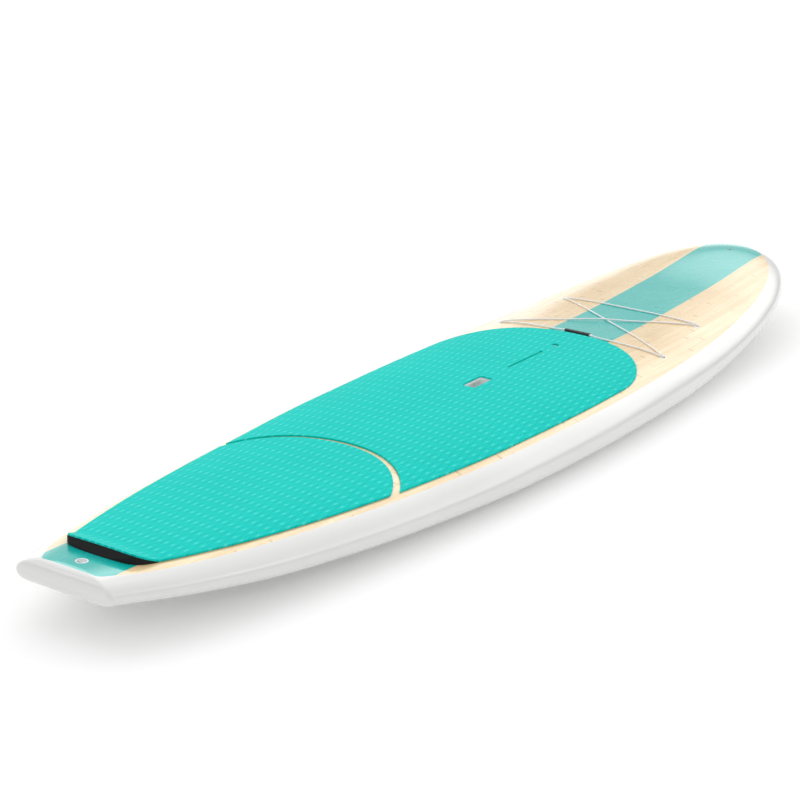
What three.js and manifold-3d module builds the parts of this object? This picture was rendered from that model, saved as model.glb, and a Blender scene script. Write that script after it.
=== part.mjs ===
// Stand up paddleboard, in millimetres.
// Board axes: x runs from the tail (0) to the nose (LENGTH), +y is port, z = 0 is the lowest
// point of the bottom. The group is moved so that its origin is under the middle of the board.
import * as THREE from 'three';
import { mergeVertices } from 'three/addons/utils/BufferGeometryUtils.js';
import Module from 'manifold-3d';

const wasm = await Module();
wasm.setup();

// ---------------------------------------------------------------- driving sizes

const LENGTH = 3300;
const GAP = 0.3;

// Lines of the board, as [station, size], with station 0 at the tail and 1 at the nose.
const halfWidthLine = smoothLine([
  [0, 141], [0.06, 217], [0.15, 293], [0.27, 355], [0.4, 395], [0.55, 409], [0.75, 400], [1, 392],
]);
const deckLine = smoothLine([[0, 166], [0.12, 150], [0.3, 139], [0.7, 139], [0.85, 156], [1, 200]]);
const bottomLine = smoothLine([
  [0, 104], [0.15, 44], [0.35, 9], [0.46, 0], [0.64, 0], [0.85, 65], [1, 150],
]);
const NOSE_BLUNTNESS = 7.3;
const TAIL_CORNER = 14;

// Rail section: the deck falls away as a superellipse above the rail line, the bottom below it.
const DECK_SHARE = 0.6;
const DECK_POWER = 3.45;
const BOTTOM_POWER = 7.2;
const NOSE_SPINE_END = LENGTH - 183;
const TAIL_SPINE_START = 41;

const SKIN = 3;
const PANEL = 2.4;
const PAD = 5;
const PAD_LIFT = 0.6;
const STRINGER = 6;

const PANEL_TAIL = 23;
const PANEL_TAIL_HALF = 84;
const panelInset = smoothLine([[0, 46], [0.2, 61], [0.7, 59], [0.85, 56], [1, 39]]);

// The kick's wedge starts at x, leans forward to its top edge and runs down under the tail pad.
// Its outline is rounded at the corners, over the length called corner.
const KICK = { x: 108, lean: 13, corner: 33, run: 54, height: 19.5 };
const KICK_TOP = KICK.x + KICK.lean;
const PAD_MARGIN = 82;
const ARC = { x: 740, tailRadius: 292, mainRadius: 310 };
const PAD_FRONT = { x: 1900, reach: 298, power: 2.15 };

const HANDLE = { x: 1650, length: 93, width: 40, depth: 44, wall: 3, lip: 7, undercut: 24 };
const SLOT = { from: 1815, to: 1988, width: 7, endRadius: 5 };
const VENT = {
  x: 2068, radius: 9, depth: 24, padRadius: 10.5,
  headRadius: 6, headRoom: 0.4, headRoomDepth: 4, stemRadius: 3, stemFloor: 4,
};
const LEASH = {
  x: 65, radius: 15, depth: 19, cavityRadius: 12, cavityDepth: 15, barRadius: 2, barDepth: 4,
};
const NOSE_INSERT = { x: 3190, radius: 6, depth: 10, holeRadius: 2.6, holeDepth: 7 };
const CUP = {
  radius: 10.5, depth: 15, cavityRadius: 8.5, cavityDepth: 12.5, barRadius: 1.5, barDepth: 2.5,
};
const FITTING_DROP = 0.1;
const CUP_PLACES = {
  front_port: [2512, 232],
  front_starboard: [2512, -232],
  rear_starboard: [2210, -279],
  rear_port: [2210, 279],
};
const CORD_RADIUS = 2.2;
const SLEEVE = { portEnd: 54, starboardEnd: -36, wall: 2.2 };

const FIN = { x: 330, length: 267, width: 27, depth: 26, slotLength: 241, slotWidth: 10 };
const FIN_TRACK = { from: 8, to: 12.5, width: 15 };
const FIN_PLATE = { size: 13, thickness: 3, holeRadius: 2.4 };
const FIN_SCREW = { radius: 2, length: 10, headRadius: 4, headHeight: 2.2 };

// ---------------------------------------------------------------- lines and surfaces

// A smooth line through [station, value] pairs that never overshoots them, so level stretches
// stay level.
function smoothLine(pairs) {
  const stations = pairs.map(pair => pair[0]);
  const values = pairs.map(pair => pair[1]);
  const last = pairs.length - 1;
  const chord = i => (values[i + 1] - values[i]) / (stations[i + 1] - stations[i]);
  const slopes = values.map((_, i) => {
    if (i === 0) return chord(0);
    if (i === last) return chord(last - 1);
    const before = chord(i - 1);
    const after = chord(i);
    return before * after > 0 ? 2 * before * after / (before + after) : 0;
  });
  return station => {
    const at = THREE.MathUtils.clamp(station, 0, 1);
    let i = 0;
    while (i < last - 1 && at > stations[i + 1]) i += 1;
    const span = stations[i + 1] - stations[i];
    const t = (at - stations[i]) / span;
    const rise = t * t * (3 - 2 * t);
    const leave = t * (1 - t) * (1 - t) * span;
    const arrive = t * t * (t - 1) * span;
    return values[i] + (values[i + 1] - values[i]) * rise + slopes[i] * leave + slopes[i + 1] * arrive;
  };
}

function halfWidth(x) {
  const station = THREE.MathUtils.clamp(x / LENGTH, 0, 1);
  return halfWidthLine(station) * Math.sqrt(1 - station ** NOSE_BLUNTNESS);
}

// Half of the plan outline, from the middle of the tail to the tip of the nose.
function halfOutline() {
  const tailSteps = 2;
  const cornerSteps = 3;
  const sideSteps = 28;
  const cornerWidth = halfWidth(TAIL_CORNER);
  const points = [];
  for (let i = 0; i <= tailSteps; i += 1) {
    points.push([0, (cornerWidth - TAIL_CORNER) * i / tailSteps]);
  }
  for (let i = 1; i <= cornerSteps; i += 1) {
    const turn = Math.PI / 2 * i / cornerSteps;
    points.push([TAIL_CORNER * (1 - Math.cos(turn)), cornerWidth - TAIL_CORNER * (1 - Math.sin(turn))]);
  }
  for (let i = 1; i <= sideSteps; i += 1) {
    const along = (1 - Math.cos(Math.PI * i / sideSteps)) / 2;
    const x = TAIL_CORNER + (LENGTH - TAIL_CORNER) * along;
    points.push([x, i === sideSteps ? 0 : halfWidth(x)]);
  }
  return points;
}

// Every outline point has a spoke to the centreline. Spokes run straight across the board and
// fan out round the nose and the tail, so that the rail section goes all the way round.
function spineX(x) {
  const noseFan = 2 * NOSE_SPINE_END - LENGTH;
  if (x > noseFan) return noseFan + (x - noseFan) / 2;
  return x < 2 * TAIL_SPINE_START ? TAIL_SPINE_START + x / 2 : x;
}

// Share of the way from the centreline (0) to the outline (1), crowded towards the rail.
function railShares(steps, crowding) {
  return Array.from({ length: steps + 1 }, (_, i) => 1 - (1 - i / steps) ** crowding);
}
const DECK_SHARES = railShares(7, 2);
const BOTTOM_SHARES = railShares(5, 2.2);

// Height of the deck (or the bottom) over a plan point, sunk by inset all round.
function surfaceHeight(x, share, below, inset) {
  const station = x / LENGTH;
  const thickness = deckLine(station) - bottomLine(station);
  const rail = deckLine(station) - DECK_SHARE * thickness;
  if (below) {
    return rail - ((1 - DECK_SHARE) * thickness - inset) * Math.sqrt(1 - share ** BOTTOM_POWER);
  }
  return rail + (DECK_SHARE * thickness - inset) * Math.sqrt(1 - share ** DECK_POWER);
}

function deckHeight(x, y) {
  const intoNose = Math.max((x - NOSE_SPINE_END) / (LENGTH - NOSE_SPINE_END), 0);
  const share = Math.max(Math.abs(y) / halfWidth(x), intoNose);
  return surfaceHeight(x, Math.min(share, 1), false, 0);
}

function bottomHeight(x) {
  return bottomLine(x / LENGTH);
}

// Points of the whole deck or bottom: one row of spokes, port side then starboard side.
function surfaceGrid(shares, below, inset, lift) {
  const half = halfOutline();
  const ring = [...half, ...half.slice(1, -1).reverse().map(([x, y]) => [x, -y])];
  return ring.map(([x, y]) => {
    const centre = spineX(x);
    const reach = Math.hypot(x - centre, y);
    const kept = 1 - inset / reach;
    return shares.map(share => {
      const atX = centre + (x - centre) * share * kept;
      return [atX, y * share * kept, surfaceHeight(atX, share, below, inset) + lift];
    });
  });
}

// ---------------------------------------------------------------- meshes and booleans

// Triangles from a list of [a, b, c] corner triples; the ones that shrink to a line are dropped.
function fromTriangles(triangles) {
  const geometry = new THREE.BufferGeometry();
  geometry.setAttribute('position', new THREE.Float32BufferAttribute(triangles.flat(2), 3));
  const merged = mergeVertices(geometry, 1e-4);
  const corners = merged.index.array;
  const kept = [];
  for (let i = 0; i < corners.length; i += 3) {
    const [a, b, c] = [corners[i], corners[i + 1], corners[i + 2]];
    if (a !== b && b !== c && c !== a) kept.push(a, b, c);
  }
  merged.setIndex(kept);
  return merged;
}

// Quads between neighbouring rows; the rows close into a ring when closed is true.
function skinRows(rows, closed) {
  const triangles = [];
  const count = closed ? rows.length : rows.length - 1;
  for (let j = 0; j < count; j += 1) {
    const near = rows[j];
    const far = rows[(j + 1) % rows.length];
    for (let i = 0; i < near.length - 1; i += 1) {
      triangles.push([near[i], near[i + 1], far[i + 1]], [near[i], far[i + 1], far[i]]);
    }
  }
  return triangles;
}

const flipped = triangles => triangles.map(([a, b, c]) => [a, c, b]);

// The board's closed outer surface, sunk by inset all round.
function hullSolid(inset) {
  const deck = skinRows(surfaceGrid(DECK_SHARES, false, inset, 0), true);
  const bottom = skinRows(surfaceGrid(BOTTOM_SHARES, true, inset, 0), true);
  return solid(fromTriangles([...flipped(deck), ...bottom]));
}

// A closed sheet over the whole deck, from low to high above it.
function deckSheet(low, high) {
  const under = surfaceGrid(DECK_SHARES, false, 0, low);
  const over = surfaceGrid(DECK_SHARES, false, 0, high);
  const edge = over.map((row, j) => [row.at(-1), under[j].at(-1)]);
  return solid(fromTriangles([
    ...flipped(skinRows(over, true)), ...skinRows(under, true), ...flipped(skinRows(edge, true)),
  ]));
}

// A closed patch on a plan grid, between two heights given as functions of x and y.
function patch(xs, ys, low, high) {
  const rows = height => xs.map(x => ys.map(y => [x, y, height(x, y)]));
  const under = rows(low);
  const over = rows(high);
  const rim = grid => [
    ...grid[0], ...grid.slice(1, -1).map(row => row.at(-1)), ...grid.at(-1).toReversed(),
    ...grid.slice(1, -1).map(row => row[0]).reverse(),
  ];
  const overRim = rim(over);
  const edge = rim(under).map((point, j) => [overRim[j], point]);
  return solid(fromTriangles([
    ...flipped(skinRows(over, false)), ...skinRows(under, false), ...flipped(skinRows(edge, true)),
  ]));
}

function solid(geometry) {
  const plain = geometry.clone();
  plain.deleteAttribute('normal');
  plain.deleteAttribute('uv');
  const merged = mergeVertices(plain, 1e-4);
  return new wasm.Manifold(new wasm.Mesh({
    numProp: 3,
    vertProperties: new Float32Array(merged.attributes.position.array),
    triVerts: new Uint32Array(merged.index.array),
  }));
}

function toGeometry(made) {
  const mesh = made.getMesh();
  const geometry = new THREE.BufferGeometry();
  const corners = new Float32Array(mesh.vertProperties);
  geometry.setAttribute('position', new THREE.BufferAttribute(corners, 3));
  geometry.setIndex(new THREE.BufferAttribute(new Uint32Array(mesh.triVerts), 1));
  return geometry;
}

const cutAll = (made, tools) => tools.reduce((left, tool) => left.subtract(tool), made);

// A plan shape as an upright prism, tall enough to pass through the whole board.
function prism(shape, low = -50, high = 400) {
  const depth = high - low;
  const geometry = new THREE.ExtrudeGeometry(shape, { depth, bevelEnabled: false, curveSegments: 8 });
  return solid(geometry.translate(0, 0, low));
}

function box(sizes, centre, matrix = new THREE.Matrix4()) {
  return solid(new THREE.BoxGeometry(...sizes).translate(...centre).applyMatrix4(matrix));
}

// An upright cylinder between two heights, in the frame that matrix gives.
function cylinder(radius, low, high, sides = 24, matrix = new THREE.Matrix4()) {
  const geometry = new THREE.CylinderGeometry(radius, radius, high - low, sides).rotateX(Math.PI / 2);
  return solid(geometry.translate(0, 0, (low + high) / 2).applyMatrix4(matrix));
}

// A rod that lies along y, in the frame that matrix gives.
function crossRod(radius, length, height, matrix = new THREE.Matrix4()) {
  return solid(new THREE.CylinderGeometry(radius, radius, length, 12).translate(0, 0, height)
    .applyMatrix4(matrix));
}

// ---------------------------------------------------------------- places on the board

// Frame on the deck at a plan point, with its z axis square to the deck there.
function deckSeat(x, y) {
  const step = 5;
  const alongX = new THREE.Vector3(2 * step, 0, deckHeight(x + step, y) - deckHeight(x - step, y));
  const alongY = new THREE.Vector3(0, 2 * step, deckHeight(x, y + step) - deckHeight(x, y - step));
  return frameFrom(alongX, alongY, new THREE.Vector3(x, y, deckHeight(x, y)));
}

// Frame on the bottom's centreline, with its x axis along the rocker and z axis into the board.
function bottomSeat(x, span) {
  const rise = bottomHeight(x + span / 2) - bottomHeight(x - span / 2);
  const middle = (bottomHeight(x + span / 2) + bottomHeight(x - span / 2)) / 2;
  const alongX = new THREE.Vector3(span, 0, rise);
  return frameFrom(alongX, new THREE.Vector3(0, 1, 0), new THREE.Vector3(x, 0, middle));
}

function frameFrom(alongX, alongY, origin) {
  const xAxis = alongX.clone().normalize();
  const zAxis = xAxis.clone().cross(alongY).normalize();
  const yAxis = zAxis.clone().cross(xAxis);
  return new THREE.Matrix4().makeBasis(xAxis, yAxis, zAxis).setPosition(origin);
}

// ---------------------------------------------------------------- plan outlines

function mirroredShape(half) {
  const points = [...half, ...half.toReversed().filter(([, y]) => y > 0).map(([x, y]) => [x, -y])];
  return new THREE.Shape(points.map(([x, y]) => new THREE.Vector2(x, y)).reverse());
}

// The bamboo panel keeps a white rim round it; its back edge is straight.
function panelShape(shrink) {
  const outline = halfOutline();
  const half = [[PANEL_TAIL + shrink, PANEL_TAIL_HALF - shrink]];
  for (let i = 1; i < outline.length - 1; i += 1) {
    const [x, y] = outline[i];
    const run = outline[i + 1][0] - outline[i - 1][0];
    const rise = outline[i + 1][1] - outline[i - 1][1];
    const inset = (panelInset(x / LENGTH) + shrink) / Math.hypot(run, rise);
    const point = [x + rise * inset, y - run * inset];
    if (x > TAIL_CORNER && point[1] > 0) half.push(point);
  }
  half.push([LENGTH - panelInset(1) - shrink, 0]);
  return mirroredShape(half);
}

const padHalf = x => halfWidth(x) - PAD_MARGIN;

// Points of one of the two arcs between the pads, from the centreline to the pad's side.
function arcPoints(radius) {
  const steps = 12;
  const point = turn => [ARC.x + radius * Math.cos(turn), radius * Math.sin(turn)];
  let end = 0;
  while (point(end)[1] < padHalf(point(end)[0])) end += 0.002;
  return Array.from({ length: steps + 1 }, (_, i) => point(end * i / steps));
}

function sidePoints(from, to, steps) {
  return Array.from({ length: steps + 1 }, (_, i) => {
    const x = from + (to - from) * i / steps;
    return [x, padHalf(x)];
  });
}

// Outline of the tail pad, or of the wedge under it, whose back edge bulges aft in the middle.
function tailPadShape(bulge = 0) {
  const arc = arcPoints(ARC.tailRadius);
  const rearSteps = 7;
  const sideStart = KICK.x + KICK.lean + KICK.corner;
  const rear = Array.from({ length: rearSteps }, (_, i) => {
    const share = 1 - (1 - i / rearSteps) ** 2;
    const x = sideStart - KICK.corner * (1 - share ** 8) - bulge * (1 - share ** 2);
    return [x, padHalf(sideStart) * share];
  });
  const side = sidePoints(sideStart, arc.at(-1)[0], 10).slice(0, -1);
  return mirroredShape([...rear, ...side, ...arc.toReversed()]);
}

function mainPadShape() {
  const arc = arcPoints(ARC.mainRadius);
  const side = sidePoints(arc.at(-1)[0], PAD_FRONT.x, 8).slice(1);
  const frontSteps = 12;
  const front = Array.from({ length: frontSteps }, (_, i) => {
    const along = Math.sin(Math.PI / 2 * (i + 1) / frontSteps);
    const x = PAD_FRONT.x + PAD_FRONT.reach * along;
    const fall = Math.max(1 - along ** PAD_FRONT.power, 0) ** (1 / PAD_FRONT.power);
    return [x, padHalf(x) * fall];
  });
  return mirroredShape([...arc, ...side, ...front]);
}

function roundHole(x, radius) {
  const path = new THREE.Path();
  path.absarc(x, 0, radius, 0, 2 * Math.PI, true);
  return path;
}

function rectangleHole(x, length, width) {
  return new THREE.Path([
    new THREE.Vector2(x - length / 2, -width / 2), new THREE.Vector2(x - length / 2, width / 2),
    new THREE.Vector2(x + length / 2, width / 2), new THREE.Vector2(x + length / 2, -width / 2),
  ]);
}

// ---------------------------------------------------------------- fittings, as solids in a seat's frame

function handleCup() {
  const { length, width, depth, wall, lip, undercut } = HANDLE;
  const outerWidth = width + undercut + 2 * wall;
  const outer = box([length + 2 * wall, outerWidth, depth], [0, undercut / 2, -depth / 2]);
  const mouth = box([length, width, lip + 2], [0, 0, 1 - lip / 2]);
  const roomHeight = depth - lip - wall;
  const room = box([length, width + undercut, roomHeight], [0, undercut / 2, -lip - roomHeight / 2]);
  return cutAll(outer, [mouth, room]);
}

function handleCupHole() {
  const { length, width, depth, wall, undercut } = HANDLE;
  const spare = 2 * (wall + GAP);
  const sizes = [length + spare, width + undercut + spare, depth + GAP + 20];
  return box(sizes, [0, undercut / 2, 20 - sizes[2] / 2]);
}

function ventHousing() {
  const body = cylinder(VENT.radius, -VENT.depth, -FITTING_DROP);
  const headRoom = cylinder(VENT.headRadius + VENT.headRoom, -VENT.headRoomDepth, 1);
  const stemRoom = cylinder(VENT.stemRadius + GAP, VENT.stemFloor - VENT.depth, 1);
  return cutAll(body, [headRoom, stemRoom]);
}

// The screw's head stands clear of the housing's floor by the seal's thickness.
function ventScrew() {
  const [headLow, headTop] = [-2.4, -0.6];
  const head = cylinder(VENT.headRadius, headLow, headTop);
  const stem = cylinder(VENT.stemRadius, VENT.stemFloor - VENT.depth + 2, headLow + 0.4);
  const driverSlot = box([2 * VENT.headRadius + 2, 1.6, 1.2], [0, 0, headTop]);
  return head.add(stem).subtract(driverSlot);
}

function ventSeal() {
  const [thickness, clearance] = [1.2, 0.2];
  const ring = new THREE.TorusGeometry(VENT.stemRadius + 1.1, thickness / 2, 6, 16);
  return solid(ring.translate(0, 0, thickness / 2 + clearance - VENT.headRoomDepth));
}

function leashCup() {
  const body = cylinder(LEASH.radius, -LEASH.depth, -FITTING_DROP, 28);
  const cavity = cylinder(LEASH.cavityRadius, -LEASH.cavityDepth, 1, 28);
  const seat = crossRod(LEASH.barRadius + GAP, 2 * LEASH.cavityRadius + 3, -LEASH.barDepth);
  return cutAll(body, [cavity, seat]);
}

function bungeeCup() {
  const body = cylinder(CUP.radius, -CUP.depth, -FITTING_DROP, 20);
  const cavity = cylinder(CUP.cavityRadius, -CUP.cavityDepth, 1, 20);
  const seat = crossRod(CUP.barRadius + GAP, 2 * CUP.cavityRadius + 2.4, -CUP.barDepth);
  return cutAll(body, [cavity, seat]);
}

function noseInsert() {
  const body = cylinder(NOSE_INSERT.radius, -NOSE_INSERT.depth, -FITTING_DROP, 20);
  return body.subtract(cylinder(NOSE_INSERT.holeRadius, -NOSE_INSERT.holeDepth, 1, 12));
}

function finBox(hull, seat) {
  const { length, width, depth, slotLength, slotWidth } = FIN;
  const outer = box([length, width, depth + 20], [0, 0, depth / 2 - 10], seat);
  const slot = box([slotLength, slotWidth, depth + 6], [0, 0, depth / 2 - 10], seat);
  const trackHeight = FIN_TRACK.to - FIN_TRACK.from;
  const trackMiddle = FIN_TRACK.from + trackHeight / 2;
  const track = box([slotLength, FIN_TRACK.width, trackHeight], [0, 0, trackMiddle], seat);
  return cutAll(outer.intersect(hull), [slot, track]);
}

function finPlate() {
  const height = FIN_TRACK.from + GAP + FIN_PLATE.thickness / 2;
  const plate = box([FIN_PLATE.size, FIN_PLATE.size, FIN_PLATE.thickness], [0, 0, height]);
  return plate.subtract(cylinder(FIN_PLATE.holeRadius, 0, 30, 16));
}

function finScrew() {
  const top = FIN_TRACK.from + GAP + FIN_PLATE.thickness + 2;
  const low = top - FIN_SCREW.length;
  const shank = cylinder(FIN_SCREW.radius, low, top, 16);
  const head = cylinder(FIN_SCREW.headRadius, low - FIN_SCREW.headHeight, low + 0.1, 16);
  const driverSlot = box([2 * FIN_SCREW.headRadius + 1, 1.2, 1.2], [0, 0, low - FIN_SCREW.headHeight]);
  return shank.add(head).subtract(driverSlot);
}

// ---------------------------------------------------------------- pads and kick

// Height of the kick above the deck: a steep back face, then a ramp down to nothing at the front.
function kickRamp(x) {
  const backFace = (x - KICK.x) / KICK.lean;
  const ramp = 1 - (x - KICK_TOP) / KICK.run;
  return KICK.height * THREE.MathUtils.clamp(Math.min(backFace, ramp), 0, 1);
}

// Plan lines that the wedge and the pad over it share, so that their facets lie face to face.
const evenly = (from, to, steps) =>
  Array.from({ length: steps + 1 }, (_, i) => from + (to - from) * i / steps);
const bothSides = ys => [...ys.filter(y => y > 0).reverse().map(y => -y), ...ys];
const RAMP_X = [KICK.x - 2, KICK.x, ...evenly(KICK_TOP, KICK_TOP + KICK.run * 0.75, 3)];
const RAMP_Y = [0, 48, 96, 112, 148];

// The wedge of foam under the kick, before its sides are cut to the pad's outline.
function kickWedge(lift) {
  const thinnest = 0.4;
  const xs = [...RAMP_X, KICK_TOP + KICK.run * 0.94];
  const low = (x, y) => deckHeight(x, y) + lift;
  return patch(xs, bothSides(RAMP_Y), low, (x, y) => low(x, y) + Math.max(kickRamp(x), thinnest));
}

function tailPad() {
  const front = ARC.x + ARC.tailRadius + 4;
  const xs = [...RAMP_X, ...evenly(KICK_TOP + KICK.run, front, 14)];
  const ys = bothSides([...RAMP_Y, ...evenly(RAMP_Y.at(-1), padHalf(front) + 4, 5).slice(1)]);
  const low = (x, y) => deckHeight(x, y) + PAD_LIFT + 0.6 + kickRamp(x);
  const sheet = patch(xs, ys, low, (x, y) => low(x, y) + PAD).intersect(prism(tailPadShape()));
  return sheet.subtract(kickWedge(PAD_LIFT + 0.4));
}

function mainPad() {
  const shape = mainPadShape();
  shape.holes.push(
    rectangleHole(HANDLE.x, HANDLE.length + 2, HANDLE.width + 2),
    roundHole(VENT.x, VENT.padRadius),
    rectangleHole((SLOT.from + SLOT.to) / 2, SLOT.to - SLOT.from, SLOT.width),
  );
  const sheet = deckSheet(PAD_LIFT, PAD_LIFT + PAD).intersect(prism(shape));
  const slotEnds = [SLOT.from, SLOT.to].map(x =>
    cylinder(SLOT.endRadius, 0, 400, 12, new THREE.Matrix4().makeTranslation(x, 0, 0)));
  return cutAll(sheet, slotEnds);
}

// ---------------------------------------------------------------- deck cord

// A round tube through a list of points, closed at both ends.
function tubeThrough(points, radius, sides) {
  const directions = points.map((_, i) => {
    const from = points[Math.max(i - 1, 0)];
    const to = points[Math.min(i + 1, points.length - 1)];
    return to.clone().sub(from).normalize();
  });
  let side = new THREE.Vector3(0, 0, 1).cross(directions[0]).normalize();
  const rings = points.map((point, i) => {
    side = side.clone().addScaledVector(directions[i], -side.dot(directions[i])).normalize();
    const other = directions[i].clone().cross(side);
    const start = side;
    return Array.from({ length: sides + 1 }, (_, k) => {
      const turn = 2 * Math.PI * (k % sides) / sides;
      return point.clone().addScaledVector(start, radius * Math.cos(turn))
        .addScaledVector(other, radius * Math.sin(turn)).toArray();
    });
  });
  const cap = (ring, centre) => ring.slice(0, -1).map((corner, k) => [centre.toArray(), ring[k + 1], corner]);
  return fromTriangles([
    ...skinRows(rings, false),
    ...cap(rings[0], points[0]), ...flipped(cap(rings.at(-1), points.at(-1))),
  ]);
}

// The dip under a cup's bar, from the forward side of the cup to the aft side.
function cupDip(x, y) {
  const inboard = -Math.sign(y);
  const legs = [
    [4.9, 8, 2.9], [4.7, 3.5, 1.6], [4.5, 0.5, -2], [3.6, 0, -5.4], [1.6, 0, -7.4], [0, 0, -7.8],
  ];
  const aft = legs.slice(0, -1).toReversed().map(([alongX, alongY, up]) => [-alongX, alongY, up]);
  const seat = deckSeat(x, y);
  return [...legs, ...aft].map(([alongX, alongY, up]) =>
    new THREE.Vector3(alongX, alongY * inboard, up).applyMatrix4(seat));
}

// A straight run over the crown of the deck between two points, without its end points.
// Lift is how far the middle stands above the deck.
function deckRun(from, to, steps, lift) {
  return Array.from({ length: steps - 1 }, (_, i) => {
    const t = (i + 1) / steps;
    const x = THREE.MathUtils.lerp(from.x, to.x, t);
    const y = THREE.MathUtils.lerp(from.y, to.y, t);
    const bump = lift * Math.exp(-(((t - 0.5) / 0.12) ** 2));
    return new THREE.Vector3(x, y, deckHeight(x, y) + CORD_RADIUS + 0.5 + bump);
  });
}

const SLEEVE_LIFT = CORD_RADIUS + SLEEVE.wall + 0.8;
const TAIL_OFFSET = CORD_RADIUS + 0.25;

// The two ends of the cord lie side by side in the sleeve, level with each other.
function sleeveLane(offset, from, to) {
  const steps = 3;
  const x = CUP_PLACES.rear_port[0] + offset;
  const height = deckHeight(x, 0) + SLEEVE_LIFT;
  return Array.from({ length: steps + 1 }, (_, i) => {
    const y = THREE.MathUtils.lerp(from, to, i / steps);
    return new THREE.Vector3(x, y, height);
  });
}

// One cord: sleeve, rear port, front starboard, front port, rear starboard and back to the sleeve.
function cordPoints() {
  const dip = name => cupDip(...CUP_PLACES[name]);
  const rearPort = dip('rear_port').reverse();
  const frontStarboard = dip('front_starboard').reverse();
  const frontPort = dip('front_port');
  const rearStarboard = dip('rear_starboard');
  const firstLane = sleeveLane(TAIL_OFFSET, SLEEVE.starboardEnd - 4, SLEEVE.portEnd);
  const lastLane = sleeveLane(-TAIL_OFFSET, SLEEVE.starboardEnd, SLEEVE.portEnd - 8);
  return [
    ...firstLane, ...deckRun(firstLane.at(-1), rearPort[0], 6, 0), ...rearPort,
    ...deckRun(rearPort.at(-1), frontStarboard[0], 14, 2 * CORD_RADIUS + 0.6), ...frontStarboard,
    ...deckRun(frontStarboard.at(-1), frontPort[0], 10, 0), ...frontPort,
    ...deckRun(frontPort.at(-1), rearStarboard[0], 10, 0), ...rearStarboard,
    ...deckRun(rearStarboard.at(-1), lastLane[0], 6, 0), ...lastLane,
  ];
}

// A flat tube round both ends of the cord.
function cordSleeve() {
  const roundEnded = radius => {
    const shape = new THREE.Shape();
    shape.absarc(TAIL_OFFSET, 0, radius, -Math.PI / 2, Math.PI / 2, false);
    shape.absarc(-TAIL_OFFSET, 0, radius, Math.PI / 2, 3 * Math.PI / 2, false);
    return shape;
  };
  const section = roundEnded(CORD_RADIUS + SLEEVE.wall + GAP);
  section.holes.push(roundEnded(CORD_RADIUS + GAP));
  const depth = SLEEVE.portEnd - SLEEVE.starboardEnd - 6;
  const geometry = new THREE.ExtrudeGeometry(section, { depth, bevelEnabled: false, curveSegments: 6 });
  const x = CUP_PLACES.rear_port[0];
  const height = deckHeight(x, 0) + SLEEVE_LIFT;
  return geometry.rotateX(Math.PI / 2).translate(x, SLEEVE.portEnd - 3, height);
}

// ---------------------------------------------------------------- assembly

const looks = {
  whiteGloss: { color: 0xf2f5f5, roughness: 0.12, metalness: 0 },
  foam: { color: 0xf4f4ee, roughness: 0.95, metalness: 0 },
  denseFoam: { color: 0xd9d2a6, roughness: 0.9, metalness: 0 },
  timber: { color: 0xc79a63, roughness: 0.7, metalness: 0 },
  bamboo: { color: 0xf0dcb8, roughness: 0.3, metalness: 0 },
  tealFoam: { color: 0x1ed2c8, roughness: 0.9, metalness: 0 },
  blackFoam: { color: 0x141414, roughness: 0.95, metalness: 0 },
  whitePlastic: { color: 0xeceff0, roughness: 0.4, metalness: 0 },
  greyPlastic: { color: 0xb9bdbf, roughness: 0.45, metalness: 0 },
  blackPlastic: { color: 0x1b1b1b, roughness: 0.5, metalness: 0 },
  steel: { color: 0xc9cccd, roughness: 0.25, metalness: 1 },
  brass: { color: 0xc8a24a, roughness: 0.3, metalness: 1 },
  rubber: { color: 0x202020, roughness: 0.85, metalness: 0 },
  silverCord: { color: 0xdfe3e6, roughness: 0.6, metalness: 0 },
};

const board = new THREE.Group();
board.position.set(-LENGTH / 2, 0, 0);

function addNode(name, look, made, seat) {
  const geometry = made instanceof THREE.BufferGeometry ? made : toGeometry(made);
  geometry.computeVertexNormals();
  const mesh = new THREE.Mesh(geometry, new THREE.MeshStandardMaterial(looks[look]));
  mesh.name = name;
  if (seat) mesh.applyMatrix4(seat);
  board.add(mesh);
}

const hull = hullSolid(0);
const finSeat = bottomSeat(FIN.x, FIN.length);
const handleSeat = deckSeat(HANDLE.x, 0);
const ventSeat = deckSeat(VENT.x, 0);
const leashSeat = deckSeat(LEASH.x, 0);
const noseSeat = deckSeat(NOSE_INSERT.x, 0);
const cupSeats = Object.entries(CUP_PLACES).map(([name, place]) => [name, deckSeat(...place)]);

// Holes that the fittings need, each a gap larger than the fitting.
const roundRoom = (fitting, seat) => cylinder(fitting.radius + GAP, -fitting.depth - GAP, 30, 24, seat);
const handleRoom = solid(toGeometry(handleCupHole()).applyMatrix4(handleSeat));
const finRoom = box([FIN.length + 2 * GAP, FIN.width + 2 * GAP, FIN.depth + GAP + 20],
  [0, 0, (FIN.depth + GAP - 20) / 2], finSeat);
const deckRooms = [
  handleRoom, roundRoom(VENT, ventSeat), roundRoom(LEASH, leashSeat), roundRoom(NOSE_INSERT, noseSeat),
  ...cupSeats.map(([, seat]) => roundRoom(CUP, seat)),
];

const panelRoom = deckSheet(-12, 20).intersect(prism(panelShape(0)));
const shell = cutAll(hull.subtract(hullSolid(SKIN)), [panelRoom, finRoom]);
addNode('hull_shell', 'whiteGloss', shell);

const panel = deckSheet(-PANEL, 0).intersect(prism(panelShape(GAP)));
addNode('deck_panel', 'bamboo', cutAll(panel, deckRooms));

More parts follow.
